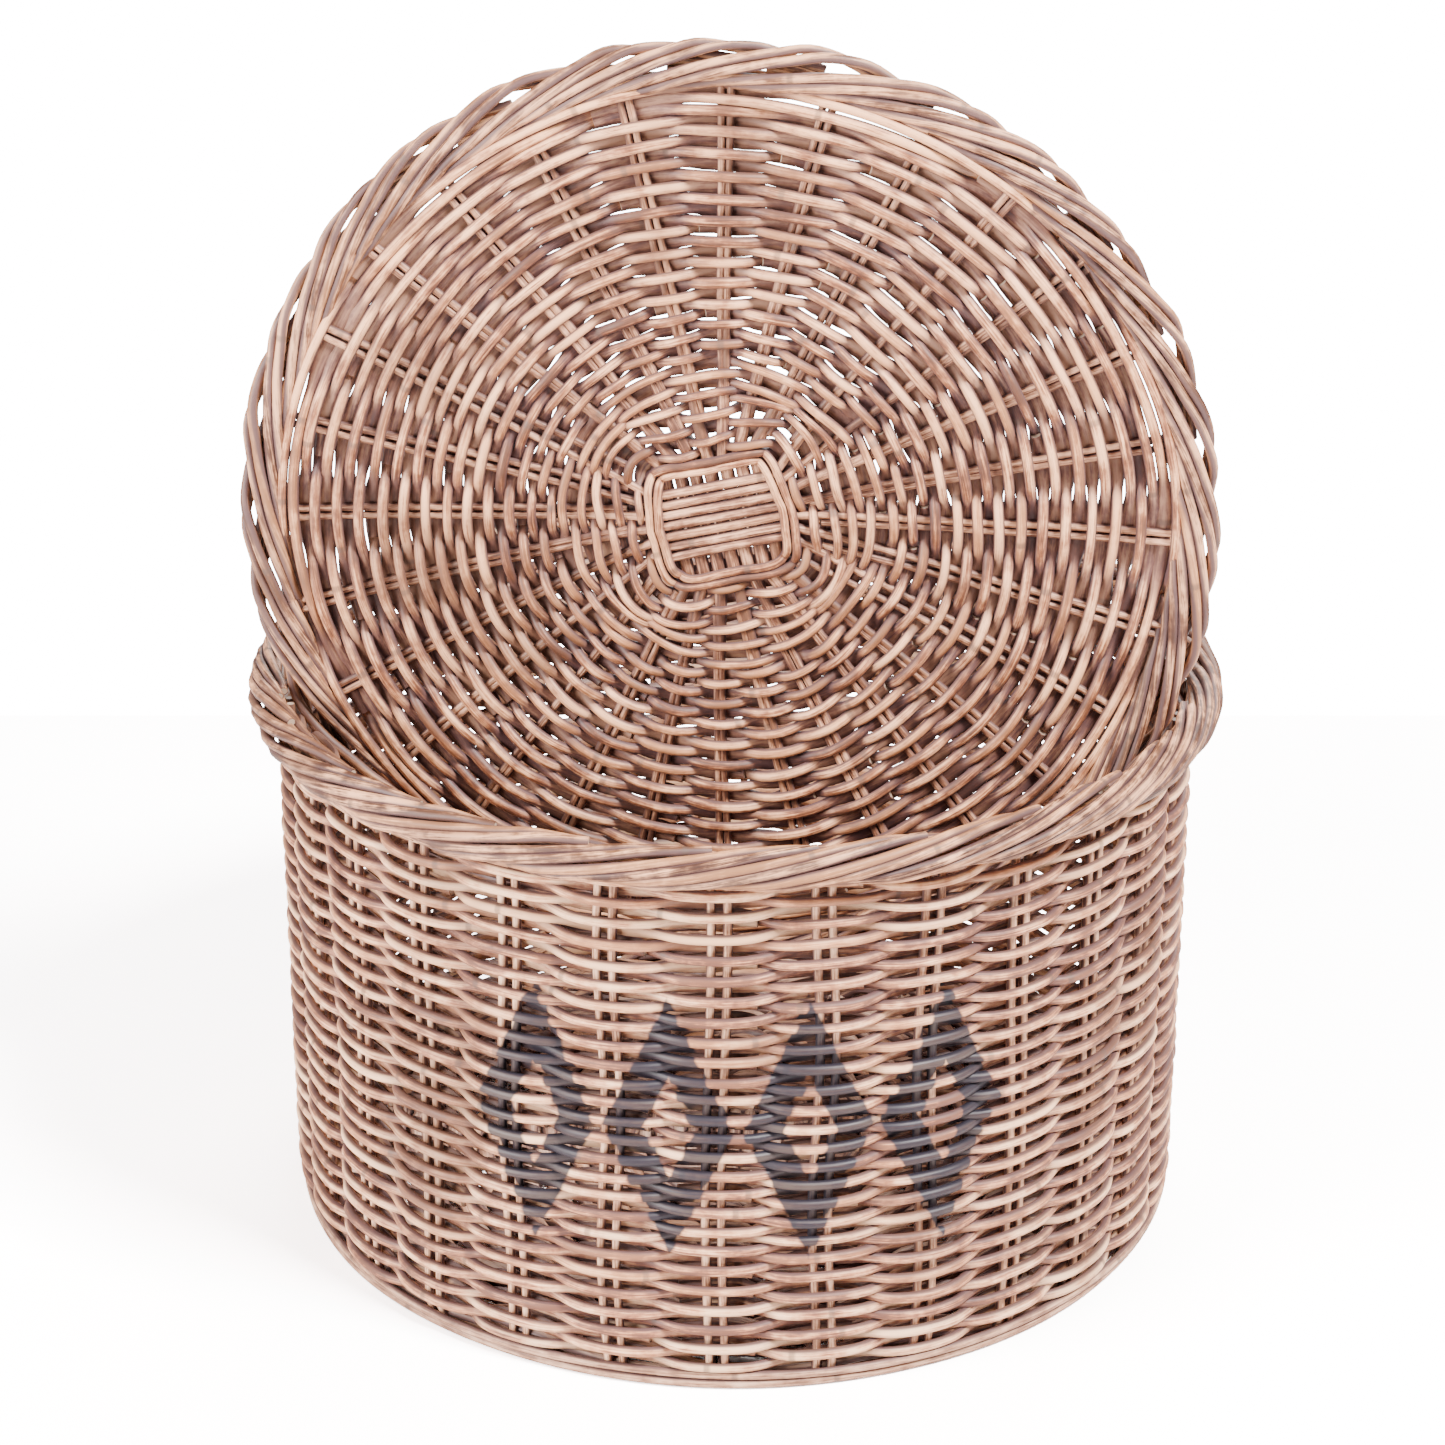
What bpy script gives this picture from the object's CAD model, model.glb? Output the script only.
import bpy
import math
import numpy as np
from mathutils import Matrix, Vector


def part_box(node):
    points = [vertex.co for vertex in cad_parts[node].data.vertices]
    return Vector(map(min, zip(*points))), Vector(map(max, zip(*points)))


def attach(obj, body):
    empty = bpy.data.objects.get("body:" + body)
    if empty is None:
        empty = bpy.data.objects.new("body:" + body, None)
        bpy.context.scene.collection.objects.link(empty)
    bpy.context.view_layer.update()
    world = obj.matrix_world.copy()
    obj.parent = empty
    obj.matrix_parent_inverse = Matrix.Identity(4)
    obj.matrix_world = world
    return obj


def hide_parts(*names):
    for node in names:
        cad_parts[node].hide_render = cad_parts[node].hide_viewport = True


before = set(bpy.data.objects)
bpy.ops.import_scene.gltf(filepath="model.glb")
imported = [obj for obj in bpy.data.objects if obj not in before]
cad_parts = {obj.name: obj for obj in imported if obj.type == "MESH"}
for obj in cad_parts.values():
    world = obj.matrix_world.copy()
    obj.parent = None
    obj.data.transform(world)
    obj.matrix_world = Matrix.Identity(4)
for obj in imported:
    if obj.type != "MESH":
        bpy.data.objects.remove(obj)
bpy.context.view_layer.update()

# Round rattan laundry basket with a loose lid, woven rod by rod.  Metres, +Z up, front -Y.

MM = 0.001
TAU = 2 * math.pi
rng = np.random.default_rng(28)


def half_width(node):
    low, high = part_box(node)
    return (high.x - low.x) / 2


# ---------------------------------------------------------------- sizes, from the frame

PAIRS = 28                              # pairs of stakes, and of lid and base spokes
STEP = TAU / PAIRS
BASKET_YAW = math.radians(-2.4)
HOOP_ROD = 4.8 * MM
STAKE_CIRCLE = (half_width("foot_hoop_outer") + half_width("foot_hoop_inner") - HOOP_ROD) / 2
STAKE_PHASE = -TAU / 4 + BASKET_YAW
WALL_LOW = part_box("wall_weave_band_1")[0].z
RIM_OUTER = half_width("rim_crown_rods")
RIM_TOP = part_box("rim_crown_rods")[1].z
RIM_ROLL = (RIM_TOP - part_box("rim_tail_rods")[0].z) / 2
INTO_RIM = 7.5 * MM                     # how far the top row of the wall reaches up into the rim
WALL_HIGH = RIM_TOP - 2 * RIM_ROLL + INTO_RIM
BASE_LEVEL = (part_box("base_outer_rounds_1")[0].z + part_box("base_outer_rounds_1")[1].z) / 2
BASE_END = half_width("base_cross_upper")

lid_low, lid_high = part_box("lid_crown_rods")
lid_tail_low, lid_tail_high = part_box("lid_tail_rods")
LID_CENTRE = (Vector(map(min, lid_low, lid_tail_low)) + Vector(map(max, lid_high, lid_tail_high))) / 2
LID_RADIUS = (max(lid_high.z, lid_tail_high.z) - min(lid_low.z, lid_tail_low.z)) / 2
LID_YAW = math.radians(-4.7)

# ---------------------------------------------------------------- sizes of the rods

SIDES = 8                               # sides of a rod's section
SECTION_TURN = np.arange(SIDES) * TAU / SIDES
STAKE = 4.5 * MM
STAKE_SPACING = 7.7 * MM
WEAVER = 5.2 * MM
ROWS = 51
BANDS = 8
RIM_ROD = 5.0 * MM
LID_BORDER_ROD = 5.1 * MM
LID_ROD = 5.4 * MM
BASE_ROD = 5.0 * MM
SPOKE = 4.0 * MM
SPOKE_SPACING = 4.6 * MM
BEHIND_SPREAD = 0.85                    # how much wider a cane is pressed on the far side of the weave
SWELLS = ((21 * MM, 0.03), (67 * MM, 0.03))     # pace and share of the waves in a rod's thickness
TONE_WAVE = (50 * MM, 0.05)             # pace and size of the slow change of tone along a rod
LONGEST_OFFSET = 50                     # metres along the grain pattern, so that no two rods match
SHARP_EDGE = math.radians(60)           # the cut ends are sharper than this, the skin is smooth


# ---------------------------------------------------------------- smooth randomness

def wander(angles, amplitude, lowest, highest):
    """A smooth random wave with the given numbers of swings round the circle."""
    total = np.zeros_like(angles)
    for swings in range(lowest, highest + 1):
        total += rng.normal() * np.cos(swings * angles + rng.uniform(0, TAU))
    return amplitude * total / math.sqrt((highest - lowest + 1) / 2)


def smooth(x):
    """Rises smoothly from 0 to 1."""
    x = np.clip(x, 0, 1)
    return x * x * (3 - 2 * x)


def flat_wave(phase, flatness):
    """A cosine with flattened crests."""
    return np.tanh(flatness * np.cos(phase)) / math.tanh(flatness)


ORANGE_SHARE = 0.22                     # how many of the canes are orange-brown
GREY_SHARE = 0.03                       # and how many weathered grey


def random_tint():
    """Above 0 for a warmer cane, below 0 for a greyer one."""
    pick = rng.uniform()
    if pick < ORANGE_SHARE:
        return rng.uniform(0.3, 0.9)
    if pick < ORANGE_SHARE + GREY_SHARE:
        return -rng.uniform(0.3, 0.8)
    return rng.normal(0, 0.12)


def random_tone(spread=0.22):
    """Above 0 for a paler cane, below 0 for a darker one."""
    return rng.normal(0, spread)


# ---------------------------------------------------------------- rods

def unit(vectors):
    return vectors / np.linalg.norm(vectors, axis=1, keepdims=True)


def upright(angle):
    """The side of an upright round form that faces out at each angle."""
    return np.stack([np.cos(angle), np.sin(angle), 0 * angle], axis=-1)


def on_cylinder(radius, angle, height):
    return np.stack([radius * np.cos(angle), radius * np.sin(angle), height], axis=-1)


class Rods:
    """Round rods, gathered into one mesh."""

    def __init__(self):
        self.points, self.quads, self.fans = [], [], []
        self.grain, self.tone, self.tint, self.cut = [], [], [], []
        self.count = 0

    def add(self, path, outward, diameter, tone=0.0, tint=0.0, spread=1.0):
        """One rod along the path.

        outward shows, for each point, which side faces out.  spread is how many times wider
        than deep the rod is.
        """
        stations = len(path)
        along = unit(np.gradient(path, axis=0))
        side = unit(np.cross(along, outward))
        out = np.cross(side, along)
        lengths = np.concatenate([[0], np.cumsum(np.linalg.norm(np.diff(path, axis=0), axis=1))])

        swell = np.ones(stations)
        for pace, share in SWELLS:
            swell += share * np.sin(lengths / pace + rng.uniform(0, TAU))
        radius = np.broadcast_to(np.asarray(diameter) / 2, (stations,)) * swell
        side *= np.broadcast_to(spread, (stations,))[:, None]
        ring = np.cos(SECTION_TURN)[None, :, None] * side[:, None, :]
        ring = ring + np.sin(SECTION_TURN)[None, :, None] * out[:, None, :]
        skin = path[:, None, :] + radius[:, None, None] * ring
        self.points.append(skin.reshape(-1, 3))
        self.points.append(path[[0, -1]])
        self.add_faces(stations)

        offset = rng.uniform(0, LONGEST_OFFSET)
        grain = np.empty((stations, SIDES, 3))
        grain[..., 0] = np.cos(SECTION_TURN)[None, :]
        grain[..., 1] = np.sin(SECTION_TURN)[None, :]
        grain[..., 2] = (lengths + offset)[:, None]
        ends = np.array([[0, 0, offset], [0, 0, offset + lengths[-1]]])
        self.grain.append(np.concatenate([grain.reshape(-1, 3), ends]))
        pace, size = TONE_WAVE
        tones = np.broadcast_to(tone, (stations,)) + size * np.sin(lengths / pace + rng.uniform(0, TAU))
        self.tone.append(np.concatenate([np.repeat(tones, SIDES), tones[[0, -1]]]))
        self.tint.append(np.full(stations * SIDES + 2, tint))
        self.cut.append(np.concatenate([np.zeros(stations * SIDES), np.ones(2)]))

    def add_faces(self, stations):
        """The skin of the rod just added, and a fan of triangles on each end."""
        first_ring = self.count
        last_ring = first_ring + (stations - 1) * SIDES
        first_hub = first_ring + stations * SIDES
        here = np.arange(SIDES)
        after = (here + 1) % SIDES
        ring_start = first_ring + np.arange(stations - 1)[:, None] * SIDES
        quads = np.stack([ring_start + here, ring_start + after,
                          ring_start + SIDES + after, ring_start + SIDES + here], axis=-1)
        self.quads.append(quads.reshape(-1, 4))
        hub = np.full(SIDES, first_hub)
        self.fans.append(np.stack([hub, first_ring + after, first_ring + here], axis=-1))
        self.fans.append(np.stack([hub + 1, last_ring + here, last_ring + after], axis=-1))
        self.count += stations * SIDES + 2

    def mesh(self, name):
        points = np.concatenate(self.points)
        quads = np.concatenate(self.quads)
        fans = np.concatenate(self.fans)
        mesh = bpy.data.meshes.new(name)
        mesh.vertices.add(len(points))
        mesh.vertices.foreach_set("co", points.ravel())
        mesh.loops.add(quads.size + fans.size)
        mesh.loops.foreach_set("vertex_index", np.concatenate([quads.ravel(), fans.ravel()]))
        starts = np.concatenate([np.arange(len(quads)) * 4, quads.size + np.arange(len(fans)) * 3])
        mesh.polygons.add(len(starts))
        mesh.polygons.foreach_set("loop_start", starts)
        mesh.polygons.foreach_set("use_smooth", np.ones(len(starts), bool))
        for values, label, kind, field in ((self.grain, "grain", "FLOAT_VECTOR", "vector"),
                                           (self.tone, "tone", "FLOAT", "value"),
                                           (self.tint, "tint", "FLOAT", "value"),
                                           (self.cut, "cut", "FLOAT", "value")):
            attribute = mesh.attributes.new(label, kind, "POINT")
            attribute.data.foreach_set(field, np.concatenate(values).ravel())
        mesh.update(calc_edges=True)
        mesh.validate()
        mesh.set_sharp_from_angle(angle=SHARP_EDGE)
        return mesh


def piece(name, rods, body, material, slot, *nodes):
    """One visible piece, which stands for the given nodes of the frame."""
    thing = bpy.data.objects.new(name, rods.mesh(name))
    bpy.context.scene.collection.objects.link(thing)
    thing.data.materials.append(material)
    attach(thing, body)
    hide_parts(*nodes)
    return thing


# ---------------------------------------------------------------- weaving

OVERLAP = 0.36                          # how far a strand runs on past its cuts, in crossings
TUCK_END = 0.62                         # where its start has come out from under the strand before it
TUCK_FADE = 0.42                        # how long it takes to come out
TUCK_DEPTH = 0.98                       # how far under it lies, in rod thicknesses
SPREAD_EASE = 0.5                       # an end of a strand is round again over this much of a crossing
CUT_JITTER = 0.3                        # how unevenly the cuts are spread


def strands_of_round(rods, place, cuts, width, diameter, density):
    """A closed round, made of strands that end behind the rods at the given cuts.

    Positions are counted in steps of one pair.  place(s, inward) gives the path, its
    outward side and the wave of the weave.  width is how many steps one crossing takes, and
    density how many points a step gets.
    """
    laps = cuts[1:] + [cuts[0] + PAIRS]
    for start, end in zip(cuts, laps):
        first = start - OVERLAP * width
        last = end + OVERLAP * width
        s = np.linspace(first, last, max(8, int((last - first) * density)))
        inward = diameter * TUCK_DEPTH * smooth((start + TUCK_END * width - s) / (TUCK_FADE * width))
        path, outward, wave = place(s, inward)
        ease = SPREAD_EASE * width
        behind = smooth(-wave) * smooth((s - first) / ease) * smooth((last - s) / ease)
        rods.add(path, outward, diameter * rng.uniform(0.92, 1.05), random_tone(), random_tint(),
                 1 + BEHIND_SPREAD * behind)


def cuts_behind(parity, strands):
    """Random places, spread round the circle, where a round's strands meet behind a rod."""
    behind = [k for k in range(PAIRS) if (k + parity) % 2 == 1]
    spread = len(behind) / strands
    begin = rng.uniform(0, len(behind))
    shifts = [spread * (j + rng.uniform(-CUT_JITTER, CUT_JITTER)) for j in range(strands)]
    return [behind[k] for k in sorted({int(begin + shift) % len(behind) for shift in shifts})]


# ---------------------------------------------------------------- wall

FOOT_BEND = 18 * MM                     # the foot is drawn in below this height
FOOT_DRAWN_IN = 3.0 * MM
SAG = 1.8 * MM
LEVEL_START = 20 * MM                   # the rows lie level at the foot, and sag fully this far up
LEVEL_END = 12 * MM                     # and they lie level again from this far below the top
LEAN = 0.030                            # in steps
ROW_RIPPLES = ((5, 0.34 * MM), (11, 0.30 * MM))         # swings round the wall, and size
ROW_BULGES = (7, 0.25 * MM)             # the same for the row's radius
ROW_FLATNESS = 1.3
SAG_WAVES = [(rng.uniform(0.10, 0.26), rng.uniform(0, TAU)) for _ in range(PAIRS)]
LEAN_WAVES = [(rng.uniform(0.12, 0.3), rng.uniform(0, TAU)) for _ in range(PAIRS)]


def wall_profile(height):
    """Radius of the stake circle at a height."""
    return STAKE_CIRCLE - FOOT_DRAWN_IN * smooth((FOOT_BEND - height) / FOOT_BEND)


def by_pair(s, height, waves, size):
    """Slow waves up the wall, one for each pair of stakes, blended in between."""
    total = np.zeros_like(s)
    for k, (length, phase) in enumerate(waves):
        near = np.abs((s - k + PAIRS / 2) % PAIRS - PAIRS / 2)
        total += size * np.sin(TAU * height / length + phase) * smooth(1 - near)
    return total


def stake_lean(s, height):
    """How far, in steps, the stakes near s have wandered sideways."""
    return by_pair(s, height, LEAN_WAVES, LEAN)


def row_sag(s, height):
    """The rows are beaten down unevenly, so neighbouring rows rise and fall together."""
    free = smooth((height - WALL_LOW) / LEVEL_START) * smooth((WALL_HIGH - height) / LEVEL_END)
    return by_pair(s, height, SAG_WAVES, SAG) * free


def row_place(row, level):
    """Gives place(s, inward) for one row of the wall."""
    swing = (STAKE + WEAVER) / 2 - 0.3 * MM
    *ripple_turns, bulge_turn = rng.uniform(0, TAU, 3)

    def place(s, inward):
        angle = STAKE_PHASE + (s + stake_lean(s, level)) * STEP
        height = level + row_sag(s, level)
        for (swings, size), turn in zip(ROW_RIPPLES, ripple_turns):
            height = height + size * np.sin(swings * s * STEP + turn)
        weave = flat_wave(math.pi * (s + row), ROW_FLATNESS)
        swings, size = ROW_BULGES
        offset = swing * weave + size * np.sin(swings * s * STEP + bulge_turn)
        return on_cylinder(wall_profile(height) + offset - inward, angle, height), upright(angle), weave

    return place


def wall(material):
    first_row = WALL_LOW + WEAVER / 2
    pitch = (WALL_HIGH - WALL_LOW - WEAVER) / (ROWS - 1)
    strands, density = 4, 14
    for band in range(BANDS):
        rods = Rods()
        for row in range(ROWS * band // BANDS, ROWS * (band + 1) // BANDS):
            place = row_place(row, first_row + row * pitch)
            strands_of_round(rods, place, cuts_behind(row, strands), 1, WEAVER, density)
        piece("wall_cane_rows_%d" % (band + 1), rods, "basket", material,
              "wall_weavers", "wall_weave_band_%d" % (band + 1))


def stakes(material):
    off_floor = 0.6 * MM
    paler = 0.12
    height = np.linspace(off_floor, RIM_TOP - RIM_ROLL, 60)
    for side, name, node in ((1, "wall_upright_canes", "wall_stakes"),
                             (-1, "wall_second_canes", "wall_bye_stakes")):
        rods = Rods()
        for k in range(PAIRS):
            lean = stake_lean(np.full_like(height, k), height)
            angle = STAKE_PHASE + (k + lean) * STEP + side * STAKE_SPACING / 2 / STAKE_CIRCLE
            path = on_cylinder(wall_profile(height), angle, height)
            rods.add(path, upright(angle), STAKE, paler + random_tone(0.08), 0.4 * random_tint())
        piece(name, rods, "basket", material, "wall_stakes", node)


def foot(material):
    """Hoops round the bottom edge."""
    gap = (STAKE + HOOP_ROD) / 2 + 0.2 * MM
    rod = 0.94 * HOOP_ROD
    seam = 0.4
    off_floor = 0.25 * MM
    angle = np.linspace(0, TAU, 241) + seam
    for name, node, side, level in (("foot_outer_cane", "foot_hoop_outer", 1, HOOP_ROD / 2),
                                    ("foot_inner_cane", "foot_hoop_inner", -1, HOOP_ROD / 2),
                                    ("foot_upper_cane", "foot_hoop_upper", 1, 1.5 * HOOP_ROD)):
        radius = wall_profile(level) + side * gap + wander(angle, 0.25 * MM, 3, 9)
        height = level + off_floor + wander(angle, 0.08 * MM, 3, 9)
        rods = Rods()
        rods.add(on_cylinder(radius, angle, height), upright(angle), rod, random_tone(0.05), tint=0.2)
        piece(name, rods, "basket", material, "foot_hoops", node)


# ---------------------------------------------------------------- borders

BORDER_RODS = 2                         # rods in each bundle of a border

# Places round the section, as shares of its girth.
CROWN_START = -0.21
TAIL_END = 0.79
HALVES_OVERLAP = 0.03
BUMP_WIDTH = 0.10
TRIM = 0.035                            # how unevenly the crowns' ends are cut

# How far out the rods run, as shares of the section's size.
CROWN_REACH = 0.98
START_TUCK = 0.25
TAIL_REACH = 0.82
TAIL_DIP = 0.10
WAVER = 0.025

START_SHARE = 0.22                      # shares of a rod's length that its start and end bends take
END_SHARE = 0.25
GATHER = 0.12                           # how much closer the rods of a bundle lie in its middle


def turn_at(girth, wide, deep):
    """The angle round an ellipse after a share of its girth, counted from its wide end."""
    per_turn = 360
    angle = np.linspace(-TAU, 2 * TAU, 3 * per_turn + 1)
    pace = np.hypot(wide * np.sin(angle), deep * np.cos(angle))
    length = np.concatenate([[0], np.cumsum((pace[1:] + pace[:-1]) / 2)])
    length = (length - length[per_turn]) / (length[2 * per_turn] - length[per_turn])
    return np.interp(girth, length, angle)


def border(place, ring, radial, axial, rod, stride, phase, crown_end, end_tuck, bump_at, bump):
    """A rolled border: one bundle of rods from each pair, wound round the ring.

    place(x, y, z) puts points of the flat ring into the frame.  Places round the section are
    shares of its girth, from the outside edge over the face.  The crown of a bundle comes
    out behind the outside edge and passes over the face, and its tail runs on round the
    back.  stride is how many pairs a bundle passes on one whole turn of the section.  bump
    raises the crown at bump_at, and end_tuck bends its end in.
    """
    wide, deep = radial - rod / 2, axial - rod / 2
    t = np.linspace(0, 1, 40)
    crown, tail = Rods(), Rods()

    def add_half(rods, girth, reach, place_in_row, strand, tone, tint):
        angle = phase + (place_in_row + stride * (girth - CROWN_START)) * STEP
        beside = (strand - (BORDER_RODS - 1) / 2) / (BORDER_RODS * stride)
        section = turn_at(girth + beside * (1 - GATHER * np.sin(math.pi * t)), wide, deep)
        radius = ring + wide * reach * np.cos(section)
        path = place(radius * np.cos(angle), radius * np.sin(angle), deep * reach * np.sin(section))
        middle = place(ring * np.cos(angle), ring * np.sin(angle), 0 * angle)
        rods.add(path, path - middle, rod * rng.uniform(0.9, 1.06), tone, tint)

    def waver(girth, strand, bundle):
        return WAVER * np.sin(9 * girth * TAU + strand * 2.1 + bundle)

    for bundle in range(PAIRS):
        plump = rng.uniform(0.7, 1.3)
        slipped = bundle + rng.uniform(-0.12, 0.12)
        for strand in range(BORDER_RODS):
            tone, tint = random_tone(0.12), random_tint()
            girth = CROWN_START + (crown_end + rng.uniform(-TRIM, TRIM) - CROWN_START) * t
            reach = CROWN_REACH + bump * plump * np.exp(-((girth - bump_at) / BUMP_WIDTH) ** 2)
            reach = reach - START_TUCK * smooth(1 - t / START_SHARE)
            reach = reach - end_tuck * smooth((t - 1 + END_SHARE) / END_SHARE)
            add_half(crown, girth, reach + waver(girth, strand, bundle), slipped, strand, tone, tint)
            tail_start = crown_end - HALVES_OVERLAP
            girth = tail_start + (TAIL_END - tail_start) * t
            reach = TAIL_REACH - TAIL_DIP * np.sin(math.pi * t)
            add_half(tail, girth, reach + waver(girth, strand, bundle), slipped, strand, tone, tint)
    return crown, tail


def rim(material):
    level = RIM_TOP - RIM_ROLL

    def place(x, y, z):
        return np.stack([x, y, z + level], axis=-1)

    crown, tail = border(place, ring=RIM_OUTER - RIM_ROLL, radial=RIM_ROLL, axial=RIM_ROLL, rod=RIM_ROD,
                         stride=5.2, phase=STAKE_PHASE, crown_end=0.37, end_tuck=-0.08, bump_at=0.26,
                         bump=0.20)
    piece("rim_crown_canes", crown, "basket", material, "rim_border", "rim_crown_rods")
    piece("rim_tail_canes", tail, "basket", material, "rim_border", "rim_tail_rods")


# ---------------------------------------------------------------- discs

BLOCK_HALF = 30 * MM                    # half the straight part of a cross stick
FIRST_ROUND = 31 * MM
BINDING_END = 37 * MM                   # the binding's rounds lie within this radius
INNER_END = 82 * MM                     # and the inner rounds within this one
OUTER_1_SHARE, OUTER_2_SHARE = 0.52, 0.78       # where the groups of outer rounds end
WALE_WIDTH = 15 * MM                    # the last rounds go over about three pairs and under one
BINDING_WIDTH, INNER_WIDTH, OUTER_WIDTH = 7, 2, 1       # steps that one crossing takes
SQUARE_POWER = 4.5                      # how square the first round is
SQUARE_FADE = 40 * MM                   # and this far out from it a round is a circle
UPPER_FLAT, LOWER_FLAT = 0.19, 0.07     # how much lower than wide the binding is, above and below
FLAT_END = 64 * MM                      # and from this radius on a round is as high as wide
RISE_SHARE = 0.09                       # a stick comes out of the block over this share of its arm
STICK_RIPPLE = 0.3 * MM
DRIFT = 1.1 * MM
RIPPLE = 0.26 * MM
BINDING_RIPPLE = 0.10 * MM
PRESSED = 1.4 * MM                      # how much less a round swings than the rods are thick


def stick_path(k, apart, end_radius, level):
    """A stick of the cross: straight across the block, then fanned out to both sides."""
    t = np.linspace(0, 1, 26)

    def arm(side):
        spoke = side * k * STEP + (0 if side > 0 else math.pi)
        tip_x = end_radius * math.cos(spoke) - SPOKE_SPACING / 2 * math.sin(spoke)
        tip_y = end_radius * math.sin(spoke) + SPOKE_SPACING / 2 * math.cos(spoke)
        run = t if side > 0 else t[::-1]
        x = side * BLOCK_HALF + (tip_x - side * BLOCK_HALF) * run
        y = k * apart + (tip_y - k * apart) * run
        return np.stack([x, y, level * (1 - smooth(run / RISE_SHARE))])

    block = np.linspace(-BLOCK_HALF, BLOCK_HALF, 12)[1:-1]
    middle = np.stack([block, np.full_like(block, k * apart), np.full_like(block, level)])
    x, y, z = np.concatenate([arm(-1), middle, arm(1)], axis=1)
    y = y + STICK_RIPPLE * np.sin(x / (20 * MM) + rng.uniform(0, TAU))
    return x, y, z


def cross(groups, place, normal, end_radius):
    """Seven sticks over seven sticks.  Those at the back are thicker and darker."""
    per_side = PAIRS // 4
    for name, apart, stick, level, block_tone in (
            ("front", 5.4 * MM, 1.28 * SPOKE, SPOKE / 2, 0.20),
            ("back", 7.6 * MM, 1.75 * SPOKE, -SPOKE / 2, 0.05)):
        for index in range(per_side):
            x, y, z = stick_path(index - (per_side - 1) / 2, apart, end_radius, level)
            if name == "back":
                x, y = -y, x
            path = place(x, y, z)
            from_middle = np.hypot(x, y)
            thick = SPOKE + (stick - SPOKE) * smooth((80 * MM - from_middle) / (44 * MM))
            tone = block_tone + random_tone(0.08) - 0.14 * smooth((from_middle - 28 * MM) / (20 * MM))
            groups[name].add(path, np.broadcast_to(normal, path.shape), thick, tone, 0.4 * random_tint())


def bye_spokes(rods, place, normal, end_radius):
    """A second rod beside each spoke."""
    for k in range(PAIRS):
        start = rng.uniform(44, 52) * MM
        r = np.linspace(start, end_radius, 24)
        x = r * math.cos(k * STEP) + SPOKE_SPACING / 2 * math.sin(k * STEP)
        y = r * math.sin(k * STEP) - SPOKE_SPACING / 2 * math.cos(k * STEP)
        path = place(x, y, 0 * r)
        rods.add(path, np.broadcast_to(normal, path.shape), SPOKE, random_tone(0.08) - 0.04,
                 0.5 * random_tint())


def drift_field():
    """Random drift of the rounds, the same for neighbouring rounds."""
    waves = [(rng.integers(2, 9), rng.uniform(20, 60), rng.uniform(0, TAU)) for _ in range(7)]

    def field(angle, radius):
        total = 0 * angle
        for swings, steepness, turn in waves:
            total = total + np.cos(swings * angle + steepness * radius + turn)
        return total / 2

    return field


def round_place(place, normal, radius, number, width, in_wale, swing, bend):
    """Gives place(s, inward) for one round.  bend moves it off its smooth path."""
    power = 2 + SQUARE_POWER * (1 - smooth((radius - FIRST_ROUND) / SQUARE_FADE))
    flattened = smooth(2 * (FLAT_END - radius) / FLAT_END)

    def weave(s, angle):
        if width == BINDING_WIDTH:
            return np.tanh(5 * np.cos(2 * angle + math.pi * number))
        if width == INNER_WIDTH:
            return flat_wave(math.pi * (s - 0.5) / 2 + math.pi * number, 1.0)
        if in_wale:
            return np.tanh(2.4 * (np.cos(TAU * (s + number) / 4) + 0.5))
        return flat_wave(math.pi * (s + number), 0.8)

    def put(s, inward):
        angle = s * STEP
        corner = (np.abs(np.cos(angle)) ** power + np.abs(np.sin(angle)) ** power) ** (-1 / power)
        flat = flattened * np.where(np.sin(angle) > 0, UPPER_FLAT, LOWER_FLAT)
        r = radius * corner * (1 - flat * np.abs(np.sin(angle))) + bend(angle)
        wave = weave(s, angle)
        path = place(r * np.cos(angle), r * np.sin(angle), swing * wave - inward)
        return path, np.broadcast_to(normal, path.shape), wave

    return put


def round_cuts(number, width, in_wale, radius):
    """Where the strands of one round of a disc meet."""
    if width == BINDING_WIDTH:
        return [7 + 7 * (number % 2)]
    if width == INNER_WIDTH:
        cuts = [2 * k + 0.5 for k in range(PAIRS // 2) if (k + number) % 2 == 1]
        return sorted(rng.choice(cuts, 2, replace=False).tolist())
    if in_wale:
        return sorted((4 * rng.choice(PAIRS // 4, 3, replace=False) + 2 - number % 4).tolist())
    return cuts_behind(number, 2 + int(radius > 120 * MM))


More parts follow.
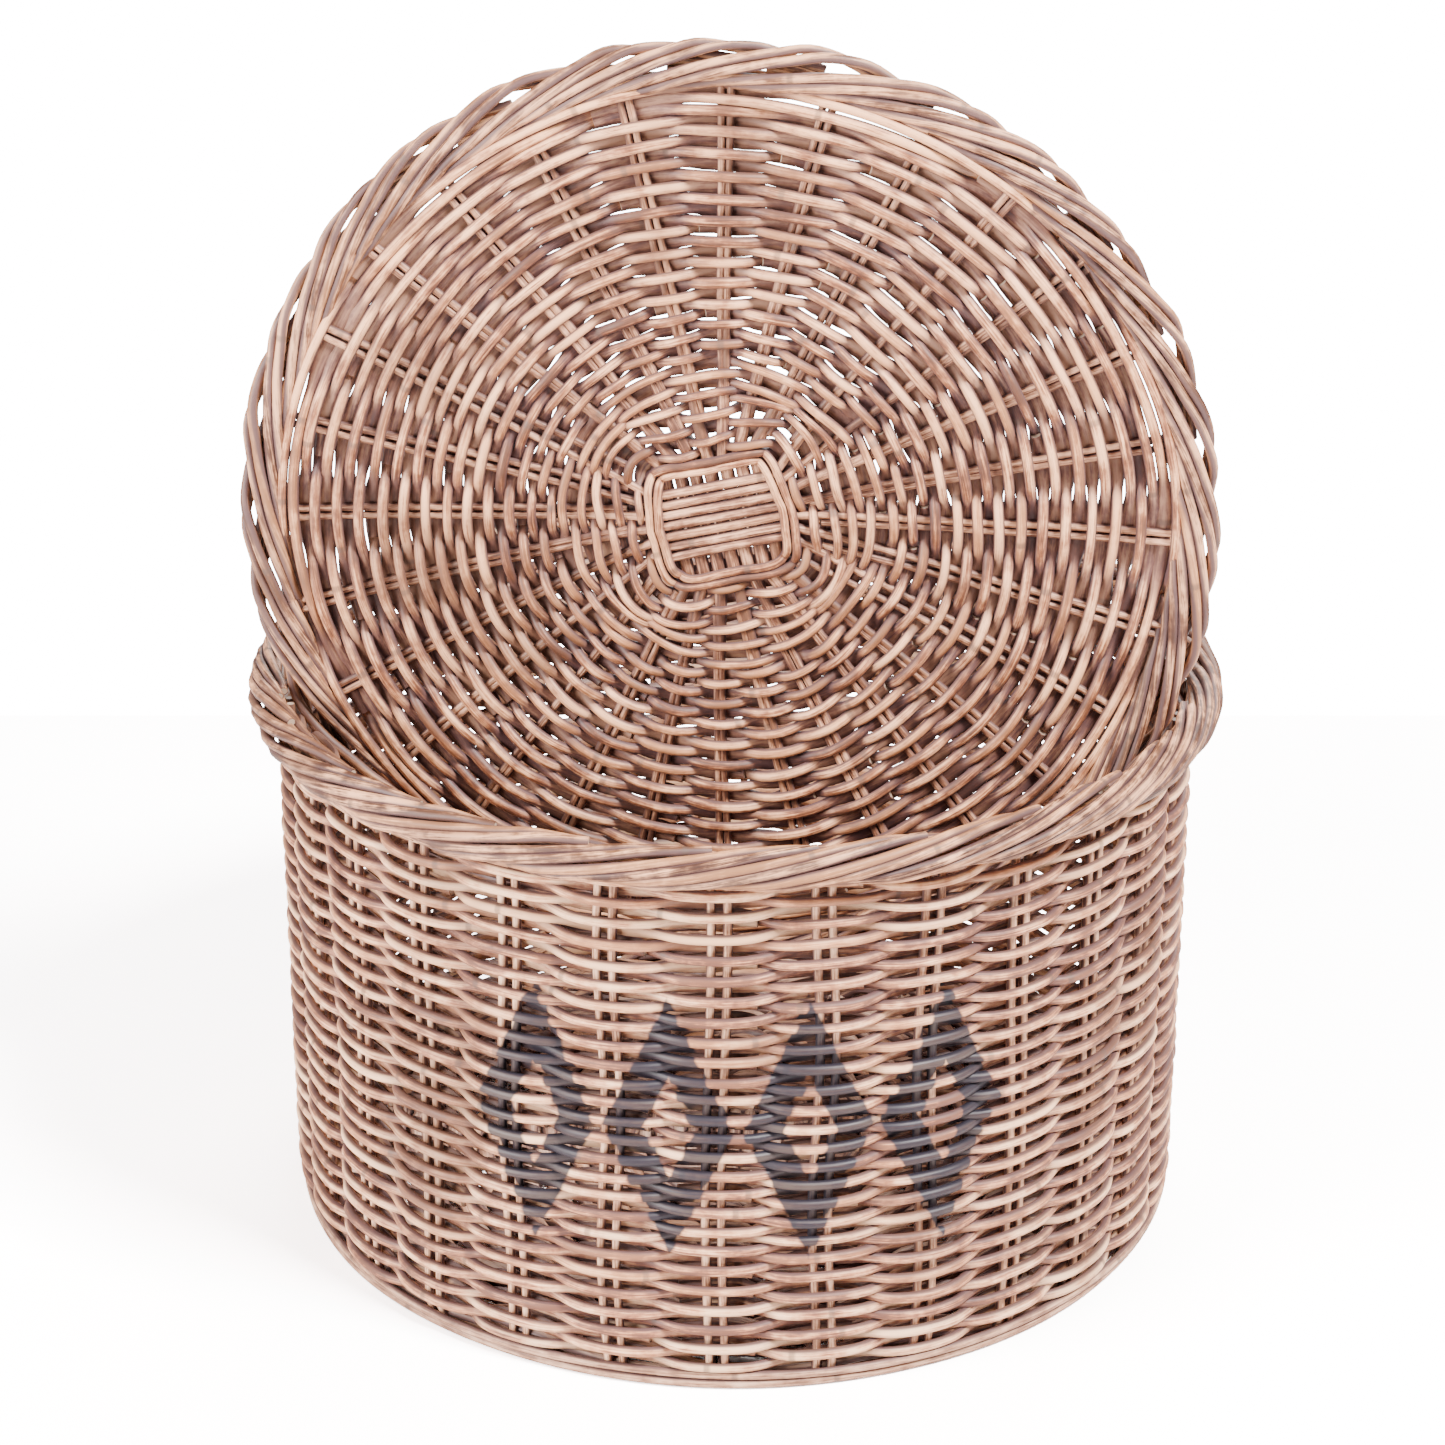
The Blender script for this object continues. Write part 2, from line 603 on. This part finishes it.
def rounds(groups, place, normal, last_round, round_rod, pitch, loose):
    """All rounds of a disc, from the binding of the cross out to the last one."""
    field = drift_field()
    radius = FIRST_ROUND
    number = 0
    while radius < last_round:
        share = (radius - FIRST_ROUND) / (last_round - FIRST_ROUND)
        in_wale = radius > last_round - WALE_WIDTH
        if radius < BINDING_END:
            zone, width = "binding", BINDING_WIDTH
        elif radius < INNER_END:
            zone, width = "inner", INNER_WIDTH
        elif share < OUTER_1_SHARE:
            zone, width = "outer_1", OUTER_WIDTH
        else:
            zone, width = ("outer_2" if share < OUTER_2_SHARE else "outer_3"), OUTER_WIDTH
        first_turn, second_turn, _ = rng.uniform(0, TAU, 3)
        drift = loose * DRIFT * smooth(radius / (150 * MM))
        ripple = loose * (BINDING_RIPPLE if width == BINDING_WIDTH else RIPPLE)
        flatter = 1 - 0.5 * smooth((radius - last_round + 9 * MM) / (9 * MM))
        swing = (round_rod + SPOKE - PRESSED) / 2 * flatter

        def bend(angle):
            waves = np.sin(6 * angle + first_turn) + np.sin(13 * angle + second_turn)
            return drift * field(angle, radius) + ripple * waves

        diameter = round_rod * (0.87 + 0.13 * smooth((radius - 55 * MM) / (70 * MM)))
        density = max(7, int(14 * radius / last_round))
        twined = 2 if width == BINDING_WIDTH else 1
        for twin in range(twined):
            cuts = round_cuts(number + twin, width, in_wale, radius)
            put = round_place(place, normal, radius, number + twin, width, in_wale, swing, bend)
            strands_of_round(groups[zone], put, cuts, min(width, 2), diameter, density)
        radius += pitch * (0.86 + 0.14 * smooth(share / 0.4)) * rng.uniform(0.9, 1.1)
        number += 1


def disc(place, end_radius, last_round, round_rod, pitch, loose):
    """A flat woven disc.  Gives its groups of rods by name.

    end_radius is where the spokes end and last_round where the rounds do.  pitch is the
    distance between rounds, and loose how uneven they are.
    """
    names = ("front", "back", "bye", "binding", "inner", "outer_1", "outer_2", "outer_3")
    groups = {name: Rods() for name in names}
    normal = place(0.0, 0.0, 1.0) - place(0.0, 0.0, 0.0)
    cross(groups, place, normal, end_radius)
    bye_spokes(groups["bye"], place, normal, end_radius)
    rounds(groups, place, normal, last_round, round_rod, pitch, loose)
    return groups


def lid(material, spoke_material, border_material):
    standing = Matrix.Rotation(LID_YAW, 3, "Z") @ Matrix.Rotation(TAU / 4, 3, "X")
    turn = np.array(standing @ Matrix.Rotation(STEP, 3, "Z"))
    centre = np.array(LID_CENTRE)

    def place(x, y, z):
        x, y, z = np.broadcast_arrays(x, y, z)
        return np.stack([x, y, z], axis=-1) @ turn.T + centre

    axial, radial = 7.4 * MM, 12.5 * MM          # half the border's thickness, and half its width
    inner_edge = LID_RADIUS - 2 * radial
    shift = np.array((-2.5 * MM, 0, 5.3 * MM))

    def off_centre(x, y, z):
        """The middle of the weave sits a little off the middle of the lid."""
        near = np.clip(1 - (np.hypot(x, y) / inner_edge) ** 2, 0, 1)
        return place(x, y, z) + shift * np.asarray(near)[..., None]

    groups = disc(off_centre, inner_edge + 8 * MM, inner_edge + 10 * MM, LID_ROD, pitch=5.35 * MM, loose=1.0)
    for group, name, node in (("front", "lid_cross_front_canes", "lid_cross_front"),
                              ("back", "lid_cross_back_canes", "lid_cross_back"),
                              ("bye", "lid_second_spokes", "lid_bye_spokes"),
                              ("binding", "lid_binding_canes", "lid_cross_binding"),
                              ("inner", "lid_inner_canes", "lid_inner_rounds"),
                              ("outer_1", "lid_round_canes_1", "lid_outer_rounds_1"),
                              ("outer_2", "lid_round_canes_2", "lid_outer_rounds_2"),
                              ("outer_3", "lid_round_canes_3", "lid_outer_rounds_3")):
        straight = group in ("front", "back", "bye")
        piece(name, groups[group], "lid", spoke_material if straight else material, "lid_rods", node)
    crown, tail = border(place, ring=LID_RADIUS - radial, radial=radial, axial=axial, rod=LID_BORDER_ROD,
                         stride=4.6, phase=0.0, crown_end=0.47, end_tuck=0.2, bump_at=0.02, bump=0.24)
    piece("lid_crown_canes", crown, "lid", border_material, "lid_border", "lid_crown_rods")
    piece("lid_tail_canes", tail, "lid", border_material, "lid_border", "lid_tail_rods")


def base(material):
    level = BASE_LEVEL + 0.4 * MM

    def place(x, y, z):
        """The base faces down, so its z is turned over."""
        x, y, z = np.broadcast_arrays(x, y, z)
        return np.stack([x * math.cos(BASKET_YAW) - y * math.sin(BASKET_YAW),
                         x * math.sin(BASKET_YAW) + y * math.cos(BASKET_YAW), level - z], axis=-1)

    groups = disc(place, BASE_END, BASE_END + 0.5 * MM, BASE_ROD, pitch=5.1 * MM, loose=0.5)
    for group, name, node in (("front", "base_cross_upper_canes", "base_cross_upper"),
                              ("back", "base_cross_lower_canes", "base_cross_lower"),
                              ("bye", "base_second_spokes", "base_bye_spokes"),
                              ("binding", "base_binding_canes", "base_cross_binding"),
                              ("inner", "base_inner_canes", "base_inner_rounds"),
                              ("outer_1", "base_round_canes_1", "base_outer_rounds_1"),
                              ("outer_2", "base_round_canes_2", "base_outer_rounds_2")):
        piece(name, groups[group], "basket", material, "base_rods", node)
    piece("base_round_canes_3", groups["outer_3"], "basket", material, "base_rods")


# ---------------------------------------------------------------- materials

# The dark, middle and pale colour of each kind of rod.
WALL_COLOURS = (0.165, 0.062, 0.036), (0.62, 0.235, 0.105), (1.0, 0.60, 0.34)
STAKE_COLOURS = (0.17, 0.078, 0.046), (0.58, 0.26, 0.14), (1.0, 0.62, 0.40)
FOOT_COLOURS = (0.10, 0.05, 0.035), (0.36, 0.17, 0.10), (0.66, 0.41, 0.27)
RIM_COLOURS = (0.045, 0.016, 0.009), (0.075, 0.022, 0.009), (0.78, 0.38, 0.20)
LID_COLOURS = (0.10, 0.036, 0.019), (0.33, 0.104, 0.041), (0.94, 0.47, 0.24)
LID_SPOKE_COLOURS = (0.095, 0.037, 0.022), (0.25, 0.09, 0.044), (0.78, 0.40, 0.23)
LID_BORDER_COLOURS = (0.055, 0.02, 0.011), (0.115, 0.036, 0.016), (0.76, 0.38, 0.205)
BASE_COLOURS = (0.10, 0.052, 0.045), (0.32, 0.16, 0.11), (0.60, 0.38, 0.27)
RAMP_POSITIONS = 0.12, 0.48, 0.86

ORANGE = 0.60, 0.26, 0.11
GREY = 0.21, 0.13, 0.09
CREVICE = 0.10, 0.053, 0.050            # between neighbouring rods
RECESS = 0.085, 0.044, 0.047            # near the middle surface of the weave
STAIN = 0.13, 0.055, 0.030
KNOT = 0.10, 0.06, 0.045
CUT_END = 0.44, 0.31, 0.22
INSIDE_DIRT = 0.12, 0.065, 0.05
PAINT = 0.013, 0.0125, 0.020
PAINT_COVER = 0.94

# How fine each pattern is: across the rod, both ways, and along it.
STREAK_GRAIN = 2.6, 2.6, 34.0
FIBRE_GRAIN = 9.0, 9.0, 40.0
FLECK_GRAIN = 2.2, 2.2, 130.0
KNOTS_PER_METRE = 4.3


class Nodes:
    """Short names for building a node tree."""

    def __init__(self, tree):
        tree.nodes.clear()
        self.tree = tree

    def node(self, kind, **inputs):
        made = self.tree.nodes.new(kind)
        for name, value in inputs.items():
            self.feed(made.inputs[name.replace("_", " ")], value)
        return made

    def feed(self, socket, value):
        if isinstance(value, bpy.types.NodeSocket):
            self.tree.links.new(value, socket)
        else:
            socket.default_value = value

    def math(self, operation, first, second=0.0, third=0.0, clamp=False):
        made = self.node("ShaderNodeMath")
        made.operation = operation
        made.use_clamp = clamp
        for socket, value in zip(made.inputs, (first, second, third)):
            self.feed(socket, value)
        return made.outputs[0]

    def remap(self, value, low, high, to_low=0.0, to_high=1.0):
        made = self.node("ShaderNodeMapRange", Value=value)
        made.interpolation_type = "SMOOTHSTEP"
        made.inputs["From Min"].default_value = low
        made.inputs["From Max"].default_value = high
        made.inputs["To Min"].default_value = to_low
        made.inputs["To Max"].default_value = to_high
        return made.outputs["Result"]

    def tinted(self, colour, factor, other):
        """The colour, mixed with another one by the factor."""
        made = self.node("ShaderNodeMix")
        made.data_type = "RGBA"
        self.feed(made.inputs[0], factor)
        self.feed(made.inputs[6], colour)
        made.inputs[7].default_value = (*other, 1)
        return made.outputs[2]

    def attribute(self, name, output):
        made = self.node("ShaderNodeAttribute")
        made.attribute_name = name
        return made.outputs[output]

    def vector(self, operation, vector, other, output="Vector"):
        made = self.node("ShaderNodeVectorMath")
        made.operation = operation
        self.feed(made.inputs[0], vector)
        made.inputs[1].default_value = other
        return made.outputs[output]

    def noise(self, vector, scale, detail, rough=0.5):
        made = self.node("ShaderNodeTexNoise", Vector=vector, Scale=scale, Detail=detail, Roughness=rough)
        return made.outputs["Fac"]

    def split(self, vector):
        return self.node("ShaderNodeSeparateXYZ", Vector=vector).outputs

    def show(self, shader, kind="ShaderNodeOutputMaterial"):
        self.tree.links.new(shader, self.node(kind).inputs[0])

    def seen_directly(self, otherwise, seen):
        """One shader for what the camera sees itself, another for everything else."""
        mixed = self.node("ShaderNodeMixShader")
        self.tree.links.new(self.node("ShaderNodeLightPath").outputs["Is Camera Ray"], mixed.inputs[0])
        self.tree.links.new(otherwise, mixed.inputs[1])
        self.tree.links.new(seen, mixed.inputs[2])
        return mixed.outputs[0]


def new_material(name):
    material = bpy.data.materials.new(name)
    material.use_nodes = True
    return material, Nodes(material.node_tree)


def distance_from_axis(n, place):
    x, y, _ = n.split(place)
    return n.math("SQRT", n.math("ADD", n.math("MULTIPLY", x, x), n.math("MULTIPLY", y, y)))


def wall_depth(n, place):
    return n.math("ABSOLUTE", n.math("SUBTRACT", distance_from_axis(n, place), STAKE_CIRCLE))


def lid_depth(n, place):
    normal = Vector((math.sin(LID_YAW), -math.cos(LID_YAW), 0))
    along_normal = n.vector("DOT_PRODUCT", place, normal, "Value")
    return n.math("ABSOLUTE", n.math("SUBTRACT", along_normal, normal.dot(LID_CENTRE)))


def lid_ageing(n, place):
    """Darker towards the edge that stands in the basket, and towards the middle."""
    reach = 200 * MM
    lower = n.remap(n.split(place)["Z"], LID_CENTRE.z - reach, LID_CENTRE.z + reach, -0.09, 0.12)
    from_middle = n.vector("DISTANCE", place, LID_CENTRE, "Value")
    return n.math("ADD", lower, n.remap(from_middle, 70 * MM, 150 * MM, -0.10, 0.03))


def painted_motif(n, place):
    """A row of four brushed hollow lozenges on the front of the wall, only on its outer face."""
    spacing, half_wide, half_high, level = 66 * MM, 31.5 * MM, 70 * MM, 144 * MM
    to_right, rough_edge = 1 * MM, 5 * MM
    row_end = 2 * spacing
    x, y, z = n.split(place)
    turn = n.math("ARCTAN2", x, n.math("MULTIPLY", y, -1.0))
    brush = n.noise(place, 90.0, 3.0)
    along = n.math("MULTIPLY_ADD", turn, STAKE_CIRCLE, -to_right)
    along = n.math("MULTIPLY_ADD", n.math("SUBTRACT", brush, 0.5), rough_edge, along)
    there_and_back = n.math("PINGPONG", n.math("ADD", along, 2 * row_end), spacing)
    cell = n.math("SUBTRACT", there_and_back, spacing / 2)
    across = n.math("DIVIDE", n.math("ABSOLUTE", cell), half_wide)
    up = n.math("DIVIDE", n.math("ABSOLUTE", n.math("SUBTRACT", z, level)), half_high)
    shape = n.math("ADD", across, up)
    mask = n.remap(shape, 1.02, 0.96)
    hollow = n.remap(shape, 0.36, 0.42)
    near = n.math("LESS_THAN", n.math("ABSOLUTE", along), row_end)
    outer = n.remap(distance_from_axis(n, place), STAKE_CIRCLE - 4.0 * MM, STAKE_CIRCLE - 1.5 * MM)
    front = n.math("LESS_THAN", y, 0.0)
    for part in (hollow, near, outer, front):
        mask = n.math("MULTIPLY", mask, part)
    return n.math("MULTIPLY", mask, PAINT_COVER)


def ramp_of(n, value, colours):
    """From the dark colour over the middle one to the pale one."""
    ramp = n.node("ShaderNodeValToRGB", Fac=value)
    ramp.color_ramp.interpolation = "B_SPLINE"
    dark, middle, pale = colours
    low, half, high = RAMP_POSITIONS
    first, last = ramp.color_ramp.elements
    first.position, first.color = low, (*dark, 1)
    last.position, last.color = high, (*pale, 1)
    ramp.color_ramp.elements.new(half).color = (*middle, 1)
    return ramp.outputs["Color"]


def rattan(name, colours, wall=False, lid=False, depth=None):
    """Aged peeled rattan: streaked, mottled, stained, darker where it is out of reach.

    depth gives how far a point is from the middle surface of the weave, where dirt settles.
    """
    material, n = new_material(name)
    grain = n.attribute("grain", "Vector")
    tint = n.attribute("tint", "Fac")
    place = n.node("ShaderNodeTexCoord").outputs["Object"]
    _, outward, along = n.split(grain)

    streaks = n.noise(n.vector("MULTIPLY", grain, STREAK_GRAIN), 1.0, 4.0, 0.65)
    fibres = n.noise(n.vector("MULTIPLY", grain, FIBRE_GRAIN), 1.0, 2.0, 0.5)
    flecks = n.noise(n.vector("MULTIPLY", grain, FLECK_GRAIN), 1.0, 3.0, 0.6)
    mottle = n.noise(place, 58.0, 4.0, 0.6)
    value = n.attribute("tone", "Fac")
    for pattern, share in ((streaks, 2.0), (mottle, 2.0), (fibres, 0.6), (flecks, 1.0)):
        value = n.math("MULTIPLY_ADD", n.math("SUBTRACT", pattern, 0.5), share, value)
    value = n.math("ADD", value, 0.5)
    if lid:
        value = n.math("ADD", value, lid_ageing(n, place))

    colour = ramp_of(n, value, colours)
    colour = n.tinted(colour, n.math("MULTIPLY", tint, 0.6, clamp=True), ORANGE)
    colour = n.tinted(colour, n.math("MULTIPLY", tint, -0.4, clamp=True), GREY)
    crevice = n.remap(n.math("ABSOLUTE", outward), 0.95, 0.25)
    colour = n.tinted(colour, n.math("MULTIPLY", crevice, 0.94), CREVICE)
    if depth:
        recess = n.remap(depth(n, place), 4.6 * MM, 1.0 * MM)
        colour = n.tinted(colour, n.math("MULTIPLY", recess, 0.45 if wall else 0.72), RECESS)
    stained = n.remap(n.noise(place, 9.0, 3.0, 0.6), 0.54, 0.70)
    colour = n.tinted(colour, n.math("MULTIPLY", stained, 0.6), STAIN)
    ring = n.math("FRACT", n.math("MULTIPLY", along, KNOTS_PER_METRE))
    knot = n.math("MULTIPLY", n.remap(ring, 0.0, 0.006), n.remap(ring, 0.020, 0.012))
    colour = n.tinted(colour, n.math("MULTIPLY", knot, 0.6), KNOT)
    colour = n.tinted(colour, n.remap(n.attribute("cut", "Fac"), 0.12, 0.3), CUT_END)

    roughness = n.math("MULTIPLY_ADD", fibres, 0.25, 0.38)
    if wall:
        inner = n.remap(distance_from_axis(n, place), STAKE_CIRCLE - 1.0 * MM, STAKE_CIRCLE - 5.0 * MM)
        dirt = n.remap(n.split(place)["Z"], 200 * MM, 100 * MM, 0.62, 0.35)
        colour = n.tinted(colour, n.math("MULTIPLY", inner, dirt), INSIDE_DIRT)
        mask = painted_motif(n, place)
        colour = n.tinted(colour, mask, PAINT)
        roughness = n.math("MULTIPLY_ADD", mask, -0.05, roughness)

    shader = n.node("ShaderNodeBsdfPrincipled", Base_Color=colour, Roughness=roughness)
    shader.inputs["Specular IOR Level"].default_value = 0.35
    bump = n.node("ShaderNodeBump", Height=n.math("MULTIPLY_ADD", fibres, 0.6, streaks))
    bump.inputs["Strength"].default_value = 0.35
    bump.inputs["Distance"].default_value = 0.3 * MM
    n.feed(shader.inputs["Normal"], bump.outputs["Normal"])
    n.show(shader.outputs[0])
    return material


# ---------------------------------------------------------------- studio

FLOOR_COLOUR = 0.82, 0.78, 0.77
FLOOR_SEEN_BRIGHTER = 4.6               # the floor looks white, but throws back only its own colour
FLOOR_REACH = 3.0
FLOOR_BACK = 0.6                        # it ends soon behind the basket, so that the back stays light
SOFT_LIGHT = (1.0, 0.95, 0.99, 1), 0.52
WHITE_BEHIND = (1.0, 1.0, 1.0, 1), 18.0
LIGHTS = (("key", 355, 0.8, (1.5, -1.3, 2.7)),          # name, power, size and place
          ("fill", 235, 1.6, (-2.3, -1.5, 1.2)),
          ("back", 110, 2.0, (0.5, 2.4, 1.9)))
LIT_POINT = Vector((0, 0, 0.25))
CAMERA_PLACE = -0.0067, -1.75, 1.011
CAMERA_DIP = 23.39                      # degrees below level
CAMERA_LENS = 91.56


def add_to_scene(name, data):
    thing = bpy.data.objects.new(name, data)
    bpy.context.scene.collection.objects.link(thing)
    return thing


def backdrop(name, colour, camera_gain):
    """A pale studio surface, bright where it is seen directly."""
    material, n = new_material(name)
    plain = n.node("ShaderNodeBsdfDiffuse", Color=(*colour, 1))
    bright = n.node("ShaderNodeBsdfDiffuse", Color=(*(c * camera_gain for c in colour), 1))
    n.show(n.seen_directly(plain.outputs[0], bright.outputs[0]))
    return material


def studio():
    mesh = bpy.data.meshes.new("floor")
    corners = [(-FLOOR_REACH, -FLOOR_REACH, 0), (FLOOR_REACH, -FLOOR_REACH, 0),
               (FLOOR_REACH, FLOOR_BACK, 0), (-FLOOR_REACH, FLOOR_BACK, 0)]
    mesh.from_pydata(corners, [], [(0, 1, 2, 3)])
    mesh.materials.append(backdrop("studio_floor", FLOOR_COLOUR, FLOOR_SEEN_BRIGHTER))
    floor = add_to_scene("floor", mesh)

    world = bpy.data.worlds.new("studio")
    bpy.context.scene.world = world
    world.use_nodes = True
    n = Nodes(world.node_tree)
    soft, white = (n.node("ShaderNodeBackground", Color=colour, Strength=strength).outputs[0]
                   for colour, strength in (SOFT_LIGHT, WHITE_BEHIND))
    n.show(n.seen_directly(soft, white), "ShaderNodeOutputWorld")

    for name, power, size, position in LIGHTS:
        light = bpy.data.lights.new(name, "AREA")
        light.energy = power
        light.size = size
        lamp = add_to_scene(name, light)
        lamp.location = position
        lamp.rotation_euler = (LIT_POINT - Vector(position)).to_track_quat("-Z", "Y").to_euler()


def camera():
    data = bpy.data.cameras.new("camera")
    data.sensor_width = 36
    data.lens = CAMERA_LENS
    eye = add_to_scene("camera", data)
    eye.location = CAMERA_PLACE
    eye.rotation_euler = (math.radians(90 - CAMERA_DIP), 0, 0)
    bpy.context.scene.camera = eye


# ---------------------------------------------------------------- assembly

wall_material = rattan("wall_rattan", WALL_COLOURS, wall=True, depth=wall_depth)
stake_material = rattan("stake_rattan", STAKE_COLOURS, wall=True)
foot_material = rattan("foot_rattan", FOOT_COLOURS)
rim_material = rattan("rim_rattan", RIM_COLOURS)
lid_material = rattan("lid_rattan", LID_COLOURS, lid=True, depth=lid_depth)
lid_spoke_material = rattan("lid_spoke_rattan", LID_SPOKE_COLOURS, lid=True)
lid_border_material = rattan("lid_border_rattan", LID_BORDER_COLOURS, lid=True)
base_material = rattan("base_rattan", BASE_COLOURS)

camera()
wall(wall_material)
stakes(stake_material)
foot(foot_material)
rim(rim_material)
base(base_material)
lid(lid_material, lid_spoke_material, lid_border_material)
studio()
